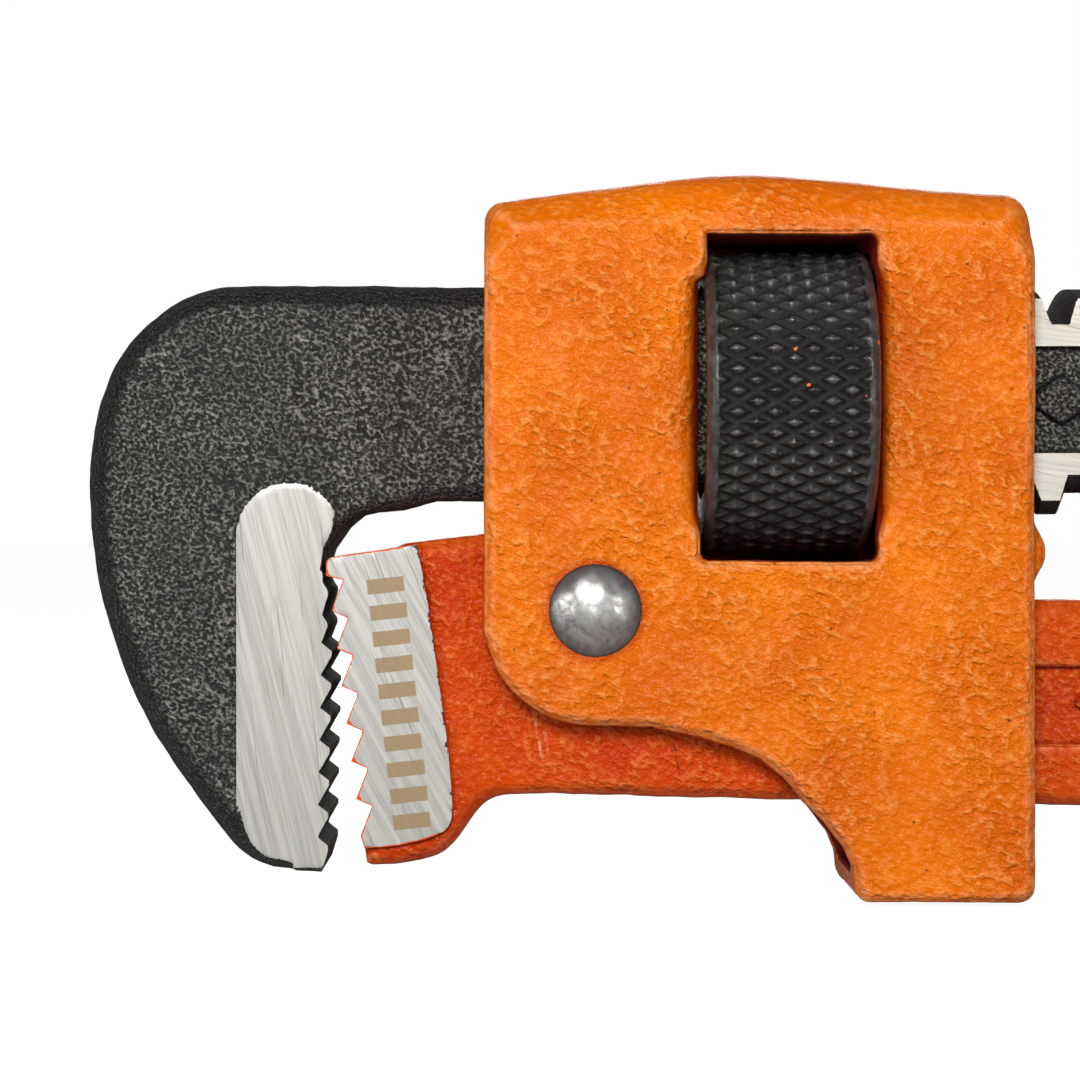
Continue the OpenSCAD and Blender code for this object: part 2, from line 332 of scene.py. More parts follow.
def roughen(spot, faces, keep, sizes, heights, seed):
    """Cast or forged skin: every vertex moves along its outward direction by a sum of smooth noises,
    each with its own size and height, except where keep is 1."""
    shift = sum(h * lattice_noise(spot + 50, s, seed + k) for k, (s, h) in enumerate(zip(sizes, heights)))
    return spot + vertex_outward(spot, faces) * (shift * (1 - keep))[:, None]


# ---- Hook jaw ----

HOOK_GULLET = np.array((-24.8, 2.87))
HOOK_STEP = np.array((-0.0625, -2.95))
HOOK = join(
    [[PLAIN_END, 29.6]],
    curve([[-20, 29.75], [-32, 29.75], [-36.5, 29.05], [-40.3, 26.9], [-43.4, 23.6], [-45.3, 19.4],
           [-46.3, 15], [-46.5, 10.2], [-46.2, 6], [-45.3, 0.8], [-43.0, -6.2], [-40.3, -11.8],
           [-36.7, -17.2], [-33.3, -21.2], [-31.3, -22.8], [-29.4, -23.6]], 6),
    [[-24.9, -23.9], [-24.2, -21.6]],
    saw(HOOK_GULLET + 8 * HOOK_STEP, -HOOK_STEP, 7, [[0.95, -1.15], [0.95, -0.75], [0, 0]]),
    saw(HOOK_GULLET + HOOK_STEP, -HOOK_STEP, 2, [[0.5, -1.45], [0.45, -1.1], [0, -0.4]]),
    [[-24.85, 3.8], [-24.4, 5.4], [-22.9, 7.5], [-21.6, 8.6], [-20.3, 8.9], [-17.7, 9.1],
     [-16.4, 9.4], [-14.5, 9.9], [PLAIN_END, 9.9]],
)
HOOK_FLAT = join(
    [[-32.3, -19.8], [-31.5, -21.4], [-30.3, -23.0], [-28.3, -23.4], [-20, -23.3], [-20, 8.6], [-23.2, 8.6]],
    arc(-27.75, 6.7, 4.6, 25, 175, 14),
)


def hook_thickness(x, z):
    """Half thickness of the forging: the shank's, growing towards the bend, with a pad beside the teeth
    that stands just proud of the ground plane and falls away round it."""
    base = SHANK_HALF + 1.1 * ramp(-x, 12, 30)
    away = outline(x, z, HOOK_FLAT)
    pad = base + (GROUND_HALF - base) * np.exp(-np.maximum(away, 0) / 2.2)
    return np.where(away < 0, GROUND_HALF - 0.3 * away, pad)


def from_crest(x, turn):
    """Distance along the shank to the thread's nearest crest, at a part of a turn about the shank."""
    return np.abs(((x - CREST_X) / PITCH - turn + 0.5) % 1 - 0.5) * PITCH


def thread_radius(x, y, z):
    """Radius of the shank's right-hand thread: crests and roots 1.7 mm wide, with flanks between."""
    turn = np.arctan2(-y, z - SHANK_Z) / (2 * np.pi)
    return THREAD_R - THREAD_DEEP * np.clip((from_crest(x, turn) - 0.85) / 0.8, 0, 1)


def lozenges(x, z, first, step, last, level, half):
    """A row of raised lozenges: how far (x, z) is from the nearest, by the sum of its two offsets."""
    centre = np.clip(np.round((x - first) / step), 0, last) * step + first
    return (np.abs(x - centre) * 0.75 + np.abs(z - level) * 1.1 - half) * 0.8


def hook_field(x, y, z):
    """The hook and its shank: a forging whose rims are rounded widely outside and hardly at the teeth,
    cut by the ground planes, joined to a flat-sided threaded bar with a sunk panel on either side."""
    side = outline(x, z, HOOK)
    toothed = ramp(x, -28.5, -26.5) * ramp(-z, -3.6, -3.2)
    throat = ramp(x, -27, -22) * ramp(-z, -14, -10)
    tip = ramp(-z, 19, 22)
    rim = 2.9 - 1.4 * throat - 1.2 * toothed - 1.3 * tip
    rim = np.where(toothed > 0.5, 0.12, np.maximum(rim, 0.3))
    forged = plate(side, y, hook_thickness(x, z), rim)
    ground = np.maximum(outline(x, z, HOOK_FLAT) - 0.5, GROUND_HALF - np.abs(y))
    forged = np.maximum(forged, -ground)
    bar = np.maximum(np.hypot(y, z - SHANK_Z) - thread_radius(x, y, z), np.abs(y) - SHANK_HALF)
    bar = np.maximum(bar, np.maximum(x - SHANK_END, PLAIN_END - 0.5 - x))
    deep, tall = 0.9, 4.9
    panel = box(x, np.abs(y), z, (PLAIN_END + 4, SHANK_HALF - deep, SHANK_Z - tall),
                (SHANK_END - 6, SHANK_HALF + 4, SHANK_Z + tall), 0.3)
    raised = np.maximum(lozenges(x, z, 20.4, 7.5, 7, SHANK_Z, 2.4), np.abs(y) - SHANK_HALF + 0.25)
    bar = soft_max(bar, -np.maximum(panel, -raised), 0.25)
    return np.minimum(forged, bar)


def make_hook(black, ground, thread_steel):
    """The hook jaw: the hook's field as a skin, roughened wherever it isn't ground or toothed."""
    spot, faces = skin(hook_field, (-47.2, -7.9, -24.9), (89, 7.9, 31), 0.36)
    mark = edge_mark(hook_field, spot, 0.5)
    middle, out = face_places(spot, faces)
    flat = facing_out(out, middle, GROUND_HALF) & (middle[:, 0] < -20)
    lands = facing_out(out, middle, SHANK_HALF) & (middle[:, 0] > PLAIN_END + 3)
    slots = np.where(flat, 1, np.where(lands, 2, 0))
    keep = np.zeros(len(spot))
    keep[np.unique(faces[slots > 0])] = 1
    toothed = (spot[:, 0] > -26.4) & (spot[:, 2] < 3.5) & (spot[:, 0] < -20)
    keep = np.maximum(keep, toothed * 0.8)
    keep = np.maximum(keep, (spot[:, 0] > PLAIN_END) * 0.7)
    turned = turned_away(spot, faces)
    spot = roughen(spot, faces, keep, (6.0, 1.6, 0.8), (0.10, 0.045, 0.03), 11)
    return new_piece("hook_jaw_forging", spot, faces, "hook_jaw", [black, ground, thread_steel],
                     slots, marks={"edge": mark, "turned": turned})


# ---- Handle with heel jaw ----

HEEL_GULLET = np.array((-23.02, 2.69))
HEEL_STEP = np.array((0.453, -3.43))
HEEL_TEETH = saw(HEEL_GULLET, HEEL_STEP, 6, [[0, 0], [-0.05, -0.35], [-1.02, -2.8]])
HEEL_CORNER = join([[-23.9, 4.8]], arc(-23.85, 4.15, 0.65, 90, 180, 5), [[-24.5, 3.1]])
HEEL_UNDER = curve([[-20.3, -23.5], [-17.5, -23.3], [-14.4, -22.6], [-12.9, -21.5], [-11.8, -20.1],
                    [-10.85, -18.7], [-9.7, -17.6], [-8.3, -17.05], [-6, -17.0]])
HEEL = join([[-13.9, 6.15]], HEEL_CORNER, HEEL_TEETH, [HEEL_GULLET + 6 * HEEL_STEP, [-21.36, -20.6]],
            [[-21.1, -21.9], [-20.95, -23.0], [-20.75, -23.35]], HEEL_UNDER, [[-6, -12], [-12, 0]])
HEEL_FLAT = join([[-16.2, 5.9]], HEEL_CORNER, HEEL_TEETH, [HEEL_GULLET + 6 * HEEL_STEP],
                 [[-21.36, -20.6], [-21.0, -21.75]],
                 curve([[-19.3, -21.65], [-17.5, -21.4], [-15.3, -20.85], [-13.8, -20.2], [-13.15, -19.3],
                        [-12.95, -18.0]]), [[-13.4, -12.4], [-15.2, 0.4]])
BEAM = join(
    [[-18, -22.4], [-18, 5.85], [-10, 6.9]],
    arc(0, -1, 8, 85, 20, 8),
    [[9.5, 0.8], [44, 0.8], [77, 0.3], [110, -0.6], [135, -0.3], [160, 0.6]],
    arc(HANG[0], HANG[2], 10, 80, -80, 24),
    [[160, -17.8], [135, -16.9], [110, -16.6], [77, -17.5], [44, -18.1], [18, -17.6]],
    HEEL_UNDER[::-1],
)
PANEL = join([[24, -5.2], [60, -5.4], [110, -5.2], [166, -4.8]], arc(166, -8.7, 3.9, 80, -80, 8),
             [[110, -12.0], [60, -12.4], [24, -12.4]])


def grip_thickness(x):
    """Half thickness of the forging: thin between the housing's walls, swelling behind them, and thicker
    again towards the heel jaw."""
    return HANDLE_HALF + (GRIP_HALF - HANDLE_HALF) * ramp(x, 43, 60) + 0.75 * ramp(-x, 7.5, 14.5)


def handle_field(x, y, z):
    """The handle: a beam with a sunk panel on either side, the heel's body rounded into it, and the
    ground block of the heel jaw standing a little proud."""
    half = grip_thickness(x)
    side = np.minimum(outline(x, z, BEAM), outline(x, z, HEEL))
    beam = plate(side, y, half, 1.6 - 1.2 * ramp(-x, 13, 19) * ramp(z, -21.5, -20))
    sunk = np.maximum(outline(x, z, PANEL), half - 1.1 - 0.5 * ramp(x, 44, 60) - np.abs(y))
    sunk = np.maximum(sunk, -np.maximum(lozenges(x, z, 48, 11, 9, -8.8, 2.9), np.abs(y) - half + 0.45))
    beam = soft_max(beam, -sunk, 0.7)
    block = plate(outline(x, z, HEEL_FLAT), y, GROUND_HALF, 0.1)
    metal = np.minimum(beam, block)
    metal = np.maximum(metal, RIVET_R + 0.05 - np.hypot(x, z))
    hole = HANG_R - np.hypot(x - HANG[0], z - HANG[2])
    return soft_max(metal, hole, 0.8)


def make_handle(paint, ground):
    """The handle: its field as a skin, roughened except on the ground face, the teeth and the bore."""
    spot, faces = skin(handle_field, (-25.6, -7.9, -24.6), (198.2, 7.9, 8.4), 0.42)
    mark = edge_mark(handle_field, spot, 0.5)
    middle, out = face_places(spot, faces)
    flat = facing_out(out, middle, GROUND_HALF) & (middle[:, 0] < -12.5)
    keep = np.zeros(len(spot))
    keep[np.unique(faces[flat])] = 1
    keep = np.maximum(keep, np.hypot(spot[:, 0], spot[:, 2]) < RIVET_R + 0.7)
    keep = np.maximum(keep, (spot[:, 0] < -19) * 0.8)
    turned = turned_away(spot, faces)
    spot = roughen(spot, faces, keep, (7.0, 2.2, 1.0), (0.10, 0.05, 0.03), 31)
    rim = -outline(spot[:, 0], spot[:, 2], HEEL_FLAT)
    return new_piece("handle_forging", spot, faces, "handle", [paint, ground],
                     flat.astype(int), marks={"edge": mark, "rim": rim, "turned": turned})


# ---- Housing ----

HOUSING = join(
    [[-10.1, -2.5], [-10.1, 35.9]],
    arc(-8.1, 35.5, 2.0, 170, 108, 6),
    [[-3.3, 38.15], [2.2, 38.8], [7.6, 39.5], [11, 39.8], [14.5, 39.9], [18, 39.7], [25.4, 39.05],
     [30.8, 38.5], [36.3, 38.1]],
    arc(37.3, 35.6, 2.5, 85, 5, 8),
    arc(38.4, -25.1, 1.4, 0, -90, 6),
    arc(24.9, -25.1, 1.4, -90, -180, 6),
    [[23.3, -23.4], [22.5, -21.6], [20.6, -19.2], [18.6, -17.1], [16.9, -15.0], [15.0, -13.5], [12.4, -12.3],
     [9.5, -11.5], [5.0, -10.6]],
    arc(-0.2, -0.6, 9.9, -90, -170, 14),
)


def slot_space(x, y, z):
    """The slot that takes shank and handle, less the web that stands between the two: thin under the
    nut, thick behind it, and round at its rear end."""
    slot = box(x, y, z, (-30, -SLOT_HALF, -23.8), (60, SLOT_HALF, 30.3), 1.0)
    under = 2.4 - z
    thin = np.maximum(np.maximum(WINDOW_FRONT - x, under), z - 4.5)
    thick = np.maximum(np.maximum(WINDOW_BACK + 1.2 - x, under), z - 7.0)
    web = np.minimum(np.minimum(thin, thick), np.hypot(x - NOSE[0], z - NOSE[1]) - NOSE[2])
    return soft_max(slot, -web, 0.6)


def window_space(x, y, z):
    """The nut's window: tall and a little narrower at its top left in the near wall, shorter in the far
    wall."""
    near = box(x, y, z, (WINDOW_FRONT, -30, 4.5), (WINDOW_BACK, SLOT_HALF, 34), 0.8)
    near = np.maximum(near, WINDOW_FRONT + 0.65 * ramp(z, 29.6, 30.4) - x)
    return np.minimum(near, box(x, y, z, (WINDOW_FRONT, 0, 5.9), (WINDOW_BACK, 30, 32.5), 0.8))


def housing_field(x, y, z):
    """The housing: a block rounded widely along its top, with the web's nose behind it, less the slot for
    shank and handle, and less the nut's window, whose upright edges are rounded more than the others."""
    rim = 1.1 + 4.2 * ramp(z, 31, 37)
    block = plate(outline(x, z, HOUSING), y, HOUSING_HALF, rim)
    nose = soft_max(np.hypot(x - NOSE[0], z - NOSE[1]) - NOSE[2], np.abs(y) - 7.0, 1.0)
    block = soft_min(block, nose, 1.2)
    metal = soft_max(block, -slot_space(x, y, z), 0.6)
    upright = ramp(13 - np.abs(z - SHANK_Z), 0, 3)
    metal = soft_max(metal, -window_space(x, y, z), 0.8 + 1.9 * upright)
    return np.maximum(metal, RIVET_R - np.hypot(x, z))


def make_housing(paint):
    """The housing: its field as a skin, roughened outside, with a mark on the walls of its spaces."""
    spot, faces = skin(housing_field, (-11, -9.8, -27.4), (42, 9.8, 40.7), 0.42)
    mark = edge_mark(housing_field, spot, 0.6)
    keep = ((np.hypot(spot[:, 0], spot[:, 2]) < 4.6) | (np.abs(spot[:, 1]) < SLOT_HALF + 0.2)) * 0.85
    turned = turned_away(spot, faces)
    spot = roughen(spot, faces, keep, (9.0, 2.4, 1.0), (0.14, 0.06, 0.03), 51)
    window = ramp(-window_space(*spot.T), -1.4, -0.2) * ramp(-np.abs(spot[:, 1]), -8.97, -7.8)
    inner = np.maximum(slot_space(*spot.T) < 0.3, window)
    return new_piece("housing_casting", spot, faces, "housing", [paint],
                     marks={"edge": mark, "inner": inner, "turned": turned})


# ---- Pieces turned about an axis ----


def turned(radius, along, count):
    """A closed surface turned about +x: a grid whose rows follow a closed section of radius and place
    along the axis, and whose columns go round in equal steps. Radius may differ from column to column."""
    angle = np.linspace(0, 2 * np.pi, count, endpoint=False)
    radius = np.broadcast_to(radius, (len(along), count))
    spot = np.stack([np.broadcast_to(np.asarray(along)[:, None], radius.shape),
                     -radius * np.sin(angle), radius * np.cos(angle)], 2)
    row, col = np.arange(len(along)), np.arange(count)
    a = row[:, None] * count + col[None, :]
    b = row[:, None] * count + (col[None, :] + 1) % count
    nxt = ((row + 1) % len(along))[:, None] * count
    faces = np.stack([a, b, nxt + (col[None, :] + 1) % count, nxt + col[None, :]], 2).reshape(-1, 4)
    return spot.reshape(-1, 3), faces


def make_nut(black):
    """The nut: a band of raised diamonds between two sets of crossed V grooves, chamfered rims, flat
    ends, and a thread inside whose radius follows the same helix as the shank's."""
    round_count, cross, per = 45, 4, 12
    count = round_count * per
    half = NUT_W / 2
    turn = np.linspace(0, 1, count, endpoint=False)[None, :]
    x_band = np.linspace(-KNURL_HALF, KNURL_HALF, cross * per + 5)
    step = 2 * KNURL_HALF / cross
    u = turn * round_count + x_band[:, None] / step
    v = turn * round_count - x_band[:, None] / step
    height = np.minimum(*(1 - np.abs((w % 1) * 2 - 1) for w in (u, v)))
    fade = ramp(KNURL_HALF - np.abs(x_band), 0, 0.35)[:, None]
    deep = (1 - np.clip(height * 1.35, 0, 1)) * fade
    outer = NUT_R - 0.06 - 0.62 * deep
    rim_x = np.array([0.15, 0.45, 0.8])
    rim_r = np.array([13.45, 13.8, 13.95])
    face_r = np.linspace(11.3, 13.1, 5)
    inner_x = np.linspace(half - 0.1, -half + 0.1, 60)
    bore = from_crest(inner_x[:, None] + NUT_X, turn)
    inner = THREAD_R + NUT_GAP - 1.7 * np.clip((bore - 1.35) / 0.65, 0, 1)
    left_r = np.concatenate([face_r, rim_r])
    left = np.repeat(left_r[:, None], count, 1)
    radius = np.concatenate([left, outer, left[::-1], inner])
    face_x = np.full(len(face_r), half)
    along = np.concatenate([-face_x, -half + rim_x, x_band, half - rim_x[::-1], face_x, inner_x])
    spot, faces = turned(radius, along + NUT_X, count)
    spot[:, 2] += SHANK_Z
    groove = np.zeros(radius.shape)
    groove[len(left_r):len(left_r) + len(x_band)] = deep
    return new_piece("knurled_nut", spot, faces, "adjusting_nut", [black],
                     sharp_deg=60, marks={"groove": groove.ravel()})


def make_rivet(steel):
    """The rivet: a shaft through both walls, with a low dome at either end. Its section is turned about
    the rivet's own axis."""
    dome_h = 1.6
    dome_r = (HEAD_R**2 + dome_h**2) / (2 * dome_h)
    a = np.linspace(0, np.arcsin(HEAD_R / dome_r), 22)
    dome_x = HOUSING_HALF + dome_h - dome_r + dome_r * np.cos(a)
    dome = np.maximum(dome_r * np.sin(a), 0.01)
    radius = np.concatenate([dome, [HEAD_R - 0.08, RIVET_R], [RIVET_R, HEAD_R - 0.08], dome[::-1]])
    along = np.concatenate([dome_x, [HOUSING_HALF - 0.02] * 2, [-HOUSING_HALF + 0.02] * 2, -dome_x[::-1]])
    spot, faces = turned(radius[:, None] * np.ones(96), along, 96)
    spot = np.stack([spot[:, 1], spot[:, 0], spot[:, 2]], 1)
    return new_piece("rivet_domed", spot, faces, "housing", [steel], sharp_deg=60)


# ---- Materials ----


class Nodes:
    """A material's node tree, with short ways to add the nodes that the finishes below use. Places are
    Object coordinates in millimetres about the pivot, so that sizes can be given in millimetres."""

    def __init__(self, name, roughness, metallic=0.0, specular=0.5):
        self.material = bpy.data.materials.new(name)
        self.material.use_nodes = True
        self.tree = self.material.node_tree
        self.shader = self.tree.nodes["Principled BSDF"]
        self.shader.inputs["Metallic"].default_value = metallic
        self.shader.inputs["Roughness"].default_value = roughness
        self.shader.inputs["Specular IOR Level"].default_value = specular
        coords = self.tree.nodes.new("ShaderNodeTexCoord")
        place = self.tree.nodes.new("ShaderNodeMapping")
        place.inputs["Scale"].default_value = [1 / MM] * 3
        place.inputs["Location"].default_value = tuple(-PIVOT / MM)
        self.tree.links.new(coords.outputs["Object"], place.inputs["Vector"])
        self.place = place.outputs["Vector"]

    def set(self, socket, value):
        """Give a socket a number, or link another node's output to it."""
        if isinstance(value, bpy.types.NodeSocket):
            self.tree.links.new(value, socket)
        else:
            socket.default_value = value

    def stretched(self, scale, turn=(0, 0, 0)):
        """Places turned and then stretched, for scratches and streaks."""
        first = self.tree.nodes.new("ShaderNodeMapping")
        first.inputs["Rotation"].default_value = [math.radians(t) for t in turn]
        self.set(first.inputs["Vector"], self.place)
        second = self.tree.nodes.new("ShaderNodeMapping")
        second.inputs["Scale"].default_value = scale
        self.set(second.inputs["Vector"], first.outputs["Vector"])
        return second.outputs["Vector"]

    def noise(self, size, detail=2.0, roughness=0.5, place=None, distortion=0.0):
        """Noise from 0 to 1 whose features are about size millimetres across."""
        node = self.tree.nodes.new("ShaderNodeTexNoise")
        node.inputs["Scale"].default_value = 1 / size
        node.inputs["Detail"].default_value = detail
        node.inputs["Roughness"].default_value = roughness
        node.inputs["Distortion"].default_value = distortion
        self.set(node.inputs["Vector"], place or self.place)
        return node.outputs["Fac"]

    def spots(self, size, place=None):
        """Distance to the nearest of a scatter of points about size millimetres apart."""
        node = self.tree.nodes.new("ShaderNodeTexVoronoi")
        node.inputs["Scale"].default_value = 1 / size
        self.set(node.inputs["Vector"], place or self.place)
        return node.outputs["Distance"]

    def math(self, kind, a, b=0.0):
        """One sum on a and b."""
        node = self.tree.nodes.new("ShaderNodeMath")
        node.operation = kind
        for socket, value in zip(node.inputs, (a, b)):
            self.set(socket, value)
        return node.outputs[0]

    def band(self, value, low, high, out_low=0.0, out_high=1.0):
        """Value carried from low..high to out_low..out_high, and held at the ends."""
        node = self.tree.nodes.new("ShaderNodeMapRange")
        for socket, v in zip(node.inputs, (value, low, high, out_low, out_high)):
            self.set(socket, v)
        return node.outputs[0]

    def blend(self, fac, a, b):
        """Colour a where fac is 0, turning to colour b where it is 1."""
        node = self.tree.nodes.new("ShaderNodeMix")
        node.data_type = "RGBA"
        self.set(node.inputs["Factor"], fac)
        for name, value in (("A", a), ("B", b)):
            socket = [s for s in node.inputs if s.name == name and s.type == "RGBA"][0]
            self.set(socket, value if isinstance(value, bpy.types.NodeSocket) else (*value, 1))
        return [s for s in node.outputs if s.type == "RGBA"][0]

    def mark(self, name):
        """A number that the mesh carries at each point."""
        node = self.tree.nodes.new("ShaderNodeAttribute")
        node.attribute_name = name
        return node.outputs["Fac"]

    def split(self):
        """The place's x, y and z."""
        node = self.tree.nodes.new("ShaderNodeSeparateXYZ")
        self.set(node.inputs[0], self.place)
        return node.outputs

    def slanted(self, x_part, z_part, x0=0.0, z0=0.0):
        """Distance along a slanted way in the side view: x_part (x - x0) + z_part (z - z0)."""
        x, _, z = self.split()
        across = self.math("MULTIPLY", self.math("SUBTRACT", x, x0), x_part)
        return self.math("ADD", across, self.math("MULTIPLY", self.math("SUBTRACT", z, z0), z_part))

    def from_rivet(self):
        """Distance from the rivet's axis: the root of x squared plus z squared."""
        x, _, z = self.split()
        return self.math("SQRT", self.math("ADD", self.math("MULTIPLY", x, x), self.math("MULTIPLY", z, z)))

    def bump(self, height, depth, under=None):
        """Bump of a height from 0 to 1 that stands depth millimetres."""
        node = self.tree.nodes.new("ShaderNodeBump")
        node.inputs["Distance"].default_value = depth * MM
        self.set(node.inputs["Height"], height)
        if under is not None:
            self.set(node.inputs["Normal"], under)
        return node.outputs["Normal"]

    def finish(self, color, roughness=None, normal=None, metallic=None):
        """Links what the finish has worked out to the shader, and gives the material."""
        for name, value in (("Base Color", color), ("Roughness", roughness), ("Normal", normal),
                            ("Metallic", metallic)):
            if value is not None:
                self.set(self.shader.inputs[name], value)
        return self.material


def orange_enamel(name, deep, bright, pale, grain, lean):
    """Orange enamel over a cast or forged skin: broad drifts of tone, painted shade in the grains' low spots
    and in corners, painted highlights on the grains' high spots, paler outer edges of worn paint and
    painted highlight, and dark specks, on a bumpy skin whose grains are drawn out along a lean."""
    n = Nodes(name, 0.3, specular=0.12)
    drift = n.noise(11.0, 3.0, 0.55)
    drawn = n.stretched((0.82, 1.0, 1.22), (0, lean, 0))
    grains = n.noise(grain, 2.0, 0.5, drawn)
    patches = n.band(n.noise(8.0, 2.0), 0.38, 0.62, 0.45, 1.0)
    tone = n.blend(n.band(drift, 0.35, 0.68), deep, bright)
    # Painted highlight: paler tone on the grains' high spots.
    crest_highlight = n.math("MULTIPLY", n.band(grains, 0.50, 0.76, 0, 0.62), patches)
    tone = n.blend(crest_highlight, tone, pale)
    # Painted shade: darker tone in the grains' low spots.
    tone = n.blend(n.band(grains, 0.46, 0.22, 0, 0.35), tone, deep)
    # Painted shade in corners and creases, where the edge mark is below zero.
    hollow_shade = n.band(n.mark("edge"), -0.04, -0.4, 0, 0.8)
    tone = n.blend(hollow_shade, tone, (deep[0] * 0.5, deep[1] * 0.25, 0.0))
    wear = n.band(n.noise(1.1, 3.0), 0.4, 0.6, 0.1, 0.6)
    # Paler on outer edges: worn paint where the noise allows, and a painted highlight along the rounded
    # rims.
    rubbed_highlight = n.math("MULTIPLY", n.band(n.mark("edge"), 0.03, 0.12), wear)
    tone = n.blend(rubbed_highlight, tone, (pale[0], pale[1] * 0.95, pale[2] * 1.5))
    speck = n.math("LESS_THAN", n.spots(2.6, n.stretched((1, 1, 1), (20, 30, 10))), 0.055)
    tone = n.blend(n.math("MULTIPLY", speck, 0.7), tone, (0.10, 0.03, 0.01))
    calm = n.math("MULTIPLY", patches, n.band(n.mark("turned"), 0.02, 0.3, 1.0, 0.3))
    height = n.math("MULTIPLY", grains, calm)
    normal = n.bump(height, grain * 1.15, n.bump(n.noise(0.35, 1.0, 0.5), 0.05))
    return n, tone, n.band(n.noise(2.2, 2.0), 0.35, 0.7, 0.24, 0.36), normal


def housing_enamel():
    """The housing's enamel: painted shade, dark and dull, inside the slot and the window, and a painted
    shadow in a ring round the rivet's head.
    """
    n, tone, rough, normal = orange_enamel("housing_orange", (0.58, 0.098, 0.0), (0.72, 0.158, 0.0),
                                           (0.88, 0.365, 0.09), 0.66, -20)
    # Painted shadow: a dark red ring on the wall round the rivet's head.
    tone = n.blend(n.band(n.from_rivet(), 5.0, 4.3, 0, 0.6), tone, (0.36, 0.02, 0.0))
    # Painted shade: dark red inside the slot and the window, which are also made duller.
    inner = n.mark("inner")
    tone = n.blend(n.band(inner, 0, 0.6, 0, 0.97), tone, (0.17, 0.006, 0.0))
    return n.finish(tone, n.math("MAXIMUM", rough, n.band(inner, 0, 1, 0.0, 0.9)), normal)


def handle_enamel():
    """The handle's enamel: redder, with two pale rub marks and a dark nick on the neck."""
    n, tone, rough, normal = orange_enamel("handle_orange", (0.45, 0.030, 0.0), (0.60, 0.070, 0.0),
                                           (0.79, 0.235, 0.045), 0.60, -20)
    z = n.split()[2]
    slant = n.slanted(1.0, 0.16)
    streak = n.noise(1.0, 2.0, 0.6, n.stretched((2.0, 1.0, 0.5)))
    marks = (
        (-7.05, 0.16, -14.5, -9, 0.9, (0.75, 0.28, 0.14)),
        (-6.35, 0.2, -13.8, -9, 0.6, (0.70, 0.24, 0.12)),
        (5.35, 0.16, -15.6, -12.2, 0.9, (0.22, 0.01, 0.0)),
    )
    for at, wide, low, high, strength, color in marks:
        line = n.band(n.math("ABSOLUTE", n.math("SUBTRACT", slant, at)), wide, wide * 0.5)
        span = n.math("MULTIPLY", n.band(z, low, low + 1.2), n.band(z, high, high - 0.4))
        mask = n.math("MULTIPLY", n.math("MULTIPLY", line, span), n.band(streak, 0.36, 0.6, 0, strength))
        tone = n.blend(mask, tone, color)
    return n.finish(tone, rough, normal)


def black_forging():
    """Black oxide over a forging: near black, with painted highlights in grey on the grains' tops, painted
    shade in corners and on the rims that turn away from the rivet, grey wear on outer edges and pale
    dust, glossy enough that each small grain catches light."""
    n = Nodes("black_forging", 0.38, specular=0.5)
    drift = n.noise(14.0, 3.0, 0.5)
    grains = n.noise(0.34, 2.0, 0.5, n.stretched((0.9, 1.0, 1.1), (0, -25, 0)))
    tone = n.blend(n.band(drift, 0.35, 0.7), (0.010, 0.010, 0.0085), (0.026, 0.025, 0.021))
    # Painted highlight: grey on the grains' tops.
    crest_highlight = n.math("MULTIPLY", n.band(grains, 0.47, 0.71), n.band(n.noise(5.0, 3.0), 0.35, 0.65, 0.55, 1.0))
    tone = n.blend(crest_highlight, tone, (0.37, 0.36, 0.32))
    # Painted shade in corners and creases.
    tone = n.blend(n.band(n.mark("edge"), -0.04, -0.3, 0, 0.85), tone, (0.003, 0.003, 0.003))
    # Painted shade: near black on the rims, where the surface turns away from the rivet's axis.
    tone = n.blend(n.band(n.mark("turned"), 0.008, 0.085, 0, 0.93), tone, (0.005, 0.005, 0.005))
    worn = n.math("MULTIPLY", n.band(n.mark("edge"), 0.05, 0.30), n.band(n.noise(2.0, 4.0, 0.6), 0.46, 0.66))
    tone = n.blend(n.math("MULTIPLY", worn, 0.35), tone, (0.12, 0.12, 0.12))
    dust = n.math("LESS_THAN", n.spots(2.2), 0.045)
    tone = n.blend(n.math("MULTIPLY", dust, 0.5), tone, (0.35, 0.34, 0.32))
    normal = n.bump(grains, 1.0, n.bump(n.noise(0.17, 2.0, 0.6), 0.08))
    rough = n.band(n.noise(1.4, 3.0), 0.3, 0.7, 0.26, 0.42)
    rough = n.math("MAXIMUM", rough, n.band(n.mark("turned"), 0.15, 0.7, 0.3, 0.85))
    return n.finish(tone, rough, normal)


def ground_steel(name, lean, light=(0.50, 0.49, 0.46), dark=(0.33, 0.32, 0.295)):
    """Ground steel: fine straight scratches in one direction, with a few deeper ones, over broad faint bands
    of tone."""
    n = Nodes(name, 0.4, metallic=0.35, specular=0.3)
    fine = n.noise(1.0, 3.0, 0.65, n.stretched((7.0, 1.0, 0.16), (0, lean, 0)))
    streak = n.noise(1.0, 2.0, 0.5, n.stretched((2.2, 1.0, 0.05), (0, lean + 3, 0)))
    deep = n.noise(1.0, 1.0, 0.5, n.stretched((5.0, 1.0, 0.08), (0, lean - 6, 0)))
    tone = n.blend(n.band(fine, 0.30, 0.70), dark, light)
    tone = n.blend(n.band(streak, 0.42, 0.62, 0, 0.5), tone, [1.25 * c for c in light])
    cut = n.band(deep, 0.66, 0.72, 0, 0.5)
    tone = n.blend(cut, tone, (dark[0] * 0.45, dark[1] * 0.45, dark[2] * 0.42))
    stain = n.band(n.noise(3.0, 4.0, 0.6), 0.60, 0.78, 0, 0.3)
    tone = n.blend(stain, tone, (0.24, 0.22, 0.18))
    height = n.math("SUBTRACT", fine, n.math("MULTIPLY", cut, 0.8))
    return n, tone, n.band(fine, 0.3, 0.7, 0.44, 0.30), n.bump(height, 0.018)


